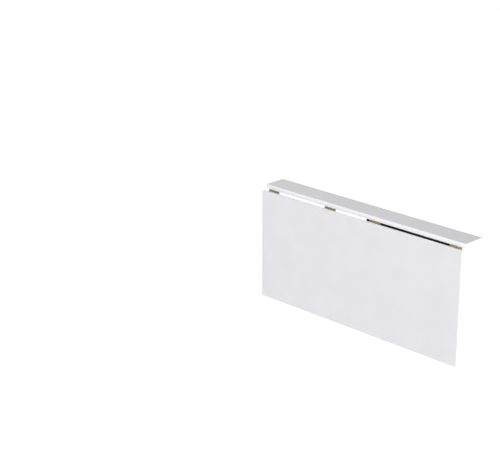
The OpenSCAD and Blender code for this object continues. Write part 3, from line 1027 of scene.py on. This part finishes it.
three = hinge_half("three", post_hinge_l, post_hinge_w, POST_PLATE_T, post_pin_r, 0, (0, 2, 4))
two = hinge_half("two", post_hinge_l, post_hinge_w, POST_PLATE_T, post_pin_r, 0, (1, 3))
post_pin_low, post_pin_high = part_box("upper_post_hinge_pin")
post_dome = ((post_pin_high.z - post_pin_low.z) - post_hinge_l) / 2
post_crown = (post_pin_high.x - post_pin_low.x) / 2
pin = peened_pin("pin", post_hinge_l, post_pin_r, post_crown, post_dome)
for name, z in zip(POST_HINGES, post_zs):
    place = Matrix.Translation((post_pin.x, post_pin.y, z))
    fixed = copy_of(three, f"{name}_fixed_half", place @ stand)
    turning = copy_of(two, f"{name}_turning_half", place @ fold @ stand @ half_turn)
    wire = copy_of(pin, f"{name}_wire_pin", place @ stand)
    finish_piece(fixed, STEEL, "wall_unit", "black_steel", f"{name}_wall_plate")
    finish_piece(turning, STEEL, "swing_frame", "black_steel", f"{name}_stile_plate")
    finish_piece(wire, STEEL, "wall_unit", "black_steel", f"{name}_pin")
for done in (three, two, pin):
    bpy.data.objects.remove(done)

pitch_z = Vector((0, 0, SCREW_PITCH))
post_centres = [(post_pin.x, post_pin.y, z) for z in post_zs]
on_post = screw_points(post_centres, (POST_PLATE_T, SCREW_OUT, 0), pitch_z)
on_stile = screw_points(post_centres, (SCREW_OUT, POST_PLATE_T, 0), pitch_z)
screw_row("post_plate_screws", on_post, (-1, 0, 0), SCREW_LENGTH, STEEL, "wall_unit", "black_steel")
screw_row("stile_plate_screws", on_stile, (0, -1, 0), SCREW_LENGTH, ZINC, "swing_frame", "zinc")

# %% [markdown]
# ## Shelf angles
#
# Four pressed steel angles tie the shelf to the rail. Each is a short block that is extruded down
# at its wall end. The inner corner of the bend is filled, and the four free corners are cut round,
# as a press tool leaves them.

# %% One angle and its copies
ANGLE_XS = (-0.3, -0.1, 0.1, 0.3)
ANGLE_T = 0.002
ANGLE_CORNER = 0.003
BEND_R = 0.6 * ANGLE_T
RAIL_SCREW_L = 0.009
angle_low, angle_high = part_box("shelf_brackets")
angle_l = angle_high.z - angle_low.z
angle_w = angle_high.x - ANGLE_XS[-1]
wall_side, room_side = angle_high.y, angle_low.y
flange_z = angle_high.z - ANGLE_T


def bent_angle():
    """An angle in the middle of the desk: one flange under the shelf, one on the rail."""
    angle = add_block("angle", (-angle_w, room_side, flange_z), (angle_w, wall_side, angle_high.z))
    in_edit_mode(angle, "FACE")
    bpy.ops.mesh.select_all(action="SELECT")
    bpy.ops.mesh.bisect(plane_co=(0, wall_side - ANGLE_T, 0), plane_no=(0, 1, 0))
    bpy.ops.object.mode_set(mode="OBJECT")
    mesh = in_edit_mode(angle, "FACE")
    for face in mesh.faces:
        centre = face.calc_center_median()
        face.select_set(face.normal.z < -0.9 and centre.y > wall_side - ANGLE_T)
    bmesh.update_edit_mesh(angle.data)
    down = ANGLE_T - angle_l
    bpy.ops.mesh.extrude_region_move(TRANSFORM_OT_translate={"value": (0, 0, down)})
    bpy.ops.object.mode_set(mode="OBJECT")

    def free_corner(edge):
        a, b = edge.verts[0].co, edge.verts[1].co
        tip = max(a.y, b.y) < room_side + NEAR and abs(a.z - b.z) > ANGLE_T / 2
        toe = max(a.z, b.z) < angle_low.z + NEAR and abs(a.y - b.y) > ANGLE_T / 2
        return tip or toe

    def inner_bend(edge):
        return all(
            abs(v.co.y - (wall_side - ANGLE_T)) < NEAR and abs(v.co.z - flange_z) < NEAR
            for v in edge.verts
        )

    bevel(angle, ANGLE_CORNER, 5, free_corner)
    bevel(angle, BEND_R, 4, inner_bend)
    return angle


angle = bent_angle()
shelf_hole = Vector((0, wall_side - angle_l / 2 - ANGLE_T, flange_z))
rail_hole = Vector((0, wall_side - ANGLE_T, angle_high.z - angle_l / 2 - ANGLE_T))
drill_points(angle, [shelf_hole], (0, 0, 1), screw_room(2 * ANGLE_T + SCREW_R))
drill_points(angle, [rail_hole], (0, 1, 0), screw_room(2 * ANGLE_T + SCREW_R))
copies = [copy_of(angle, f"angle_{i}", Matrix.Translation((x, 0, 0))) for i, x in enumerate(ANGLE_XS)]
bpy.data.objects.remove(angle)
finish_piece(joined("shelf_angles", copies), ZINC, "wall_unit", "zinc", "shelf_brackets")

shelf_holes = [shelf_hole + Vector((x, 0, 0)) for x in ANGLE_XS]
rail_holes = [rail_hole + Vector((x, 0, 0)) for x in ANGLE_XS]
screw_row("bracket_shelf_screws", shelf_holes, (0, 0, 1), SCREW_LENGTH, ZINC, "wall_unit", "zinc")
screw_row("bracket_rail_screws", rail_holes, (0, 1, 0), RAIL_SCREW_L, ZINC, "wall_unit", "zinc")

# %% [markdown]
# ## Frame screws and dowels
#
# The brace is held by one long screw at each end and the packer by two, under the pad. The dowels
# stay as the CAD model has them, because a plain peg is their true shape; they only get the beech.

# %% Frame screws and dowels
PACKER_SCREW_IN = 0.016
quarter = (packer_high.x - packer_low.x) / 4
packer_points = [
    Vector((x, bar_y, packer_high.z)) for x in (packer_low.x + quarter, packer_high.x - quarter)
]
packer_screw_l = packer_high.z - packer_low.z + PACKER_SCREW_IN
screw_row("packer_screws", packer_points, (0, 0, -1), packer_screw_l, ZINC, "swing_frame", "zinc")
screw_row(
    "brace_screws",
    [foot_at, head_at],
    [Vector((1, 0, 0)), Vector((0, 0, -1))],
    BRACE_SCREW_L,
    ZINC,
    "swing_frame",
    "zinc",
    BRACE_SCREW_R,
    BRACE_HEAD_R,
)
dowels = frame["nodes"]["frame_dowels"]
dowels.data.materials.clear()
dowels.data.materials.append(BEECH)
print("pieces made:", len(pieces_made))

# %% [markdown]
# ## Floor and light
#
# The desk hangs on a wall, but a wall would hide its back, so only a pale floor is laid, as far
# under the top as it would be in a room. The floor glows like the lit sweep of a product studio.
# The lamps light it less and less with distance, so its own glow grows from the desk outwards and
# the floor stays one even white. The sky is white at the horizon and greyer overhead: a whole white
# sky would wash out the shade under the shelf.

# %% Floor
TOP_ABOVE_FLOOR = 0.75
FLOOR_SIZE = 200
GLOW_REACH = 10
GLOW = [(0.08, 0.4), (0.25, 0.51), (0.5, 0.54), (0.9, 0.56)]
floor_z = cad_box[1].z - TOP_ABOVE_FLOOR
deselect_all()
bpy.ops.mesh.primitive_plane_add(size=FLOOR_SIZE, location=(0, 0, floor_z))
floor = settle("studio_floor")
floor_material, floor_shader = new_material("pale_floor", Roughness=0.9, IOR=1.3, Emission_Strength=1.0)
mottle = noise(floor_material, object_coordinates(floor_material), 3, 4)
feed(floor_material, ramp(floor_material, mottle, [(0.2, 0.93), (0.8, 0.95)]), floor_shader, "Base Color")
apart = object_coordinates(floor_material, [1 / GLOW_REACH] * 3)
distance = node(floor_material, "ShaderNodeVectorMath", {0: apart}, operation="LENGTH").outputs["Value"]
feed(floor_material, ramp(floor_material, distance, GLOW), floor_shader, "Emission Color")
floor.data.materials.append(floor_material)
print("floor at z =", round(floor_z, 3))


# %% Sky and lamps
SKY = [(0.0, 1.05), (0.1, 1.0), (0.35, 0.7), (0.6, 0.35)]
LAMPS_AIM = Vector((0, 0, -0.15))


def studio_sky():
    """White at and under the horizon, greyer towards the top."""
    world = bpy.data.worlds.new("studio")
    world.use_nodes = True
    direction = node(world, "ShaderNodeTexCoord").outputs["Generated"]
    height = node(world, "ShaderNodeSeparateXYZ", {"Vector": direction}).outputs["Z"]
    background = world.node_tree.nodes["Background"]
    feed(world, ramp(world, height, SKY), background, "Color")
    background.inputs["Strength"].default_value = 1.0
    return world


def soft_lamp(name, at, size, watts):
    """A disk lamp that looks at the middle of the desk."""
    deselect_all()
    bpy.ops.object.light_add(type="AREA", location=at)
    lamp = bpy.context.object
    lamp.name = name
    lamp.data.shape = "DISK"
    lamp.data.size = size
    lamp.data.energy = watts
    lamp.rotation_euler = (LAMPS_AIM - Vector(at)).to_track_quat("-Z", "Y").to_euler()
    return lamp


bpy.context.scene.world = studio_sky()
soft_lamp("right_lamp", (9, -2.4, 3.2), 4.8, 440)
soft_lamp("front_lamp", (-0.3, -2.2, 2.0), 1.6, 7)
soft_lamp("top_lamp", (-0.6, -0.3, 2.4), 1.2, 12)
bpy.context.scene.view_settings.view_transform = "Standard"
bpy.context.scene.view_settings.look = "None"
print("lamps:", len(bpy.data.lights))
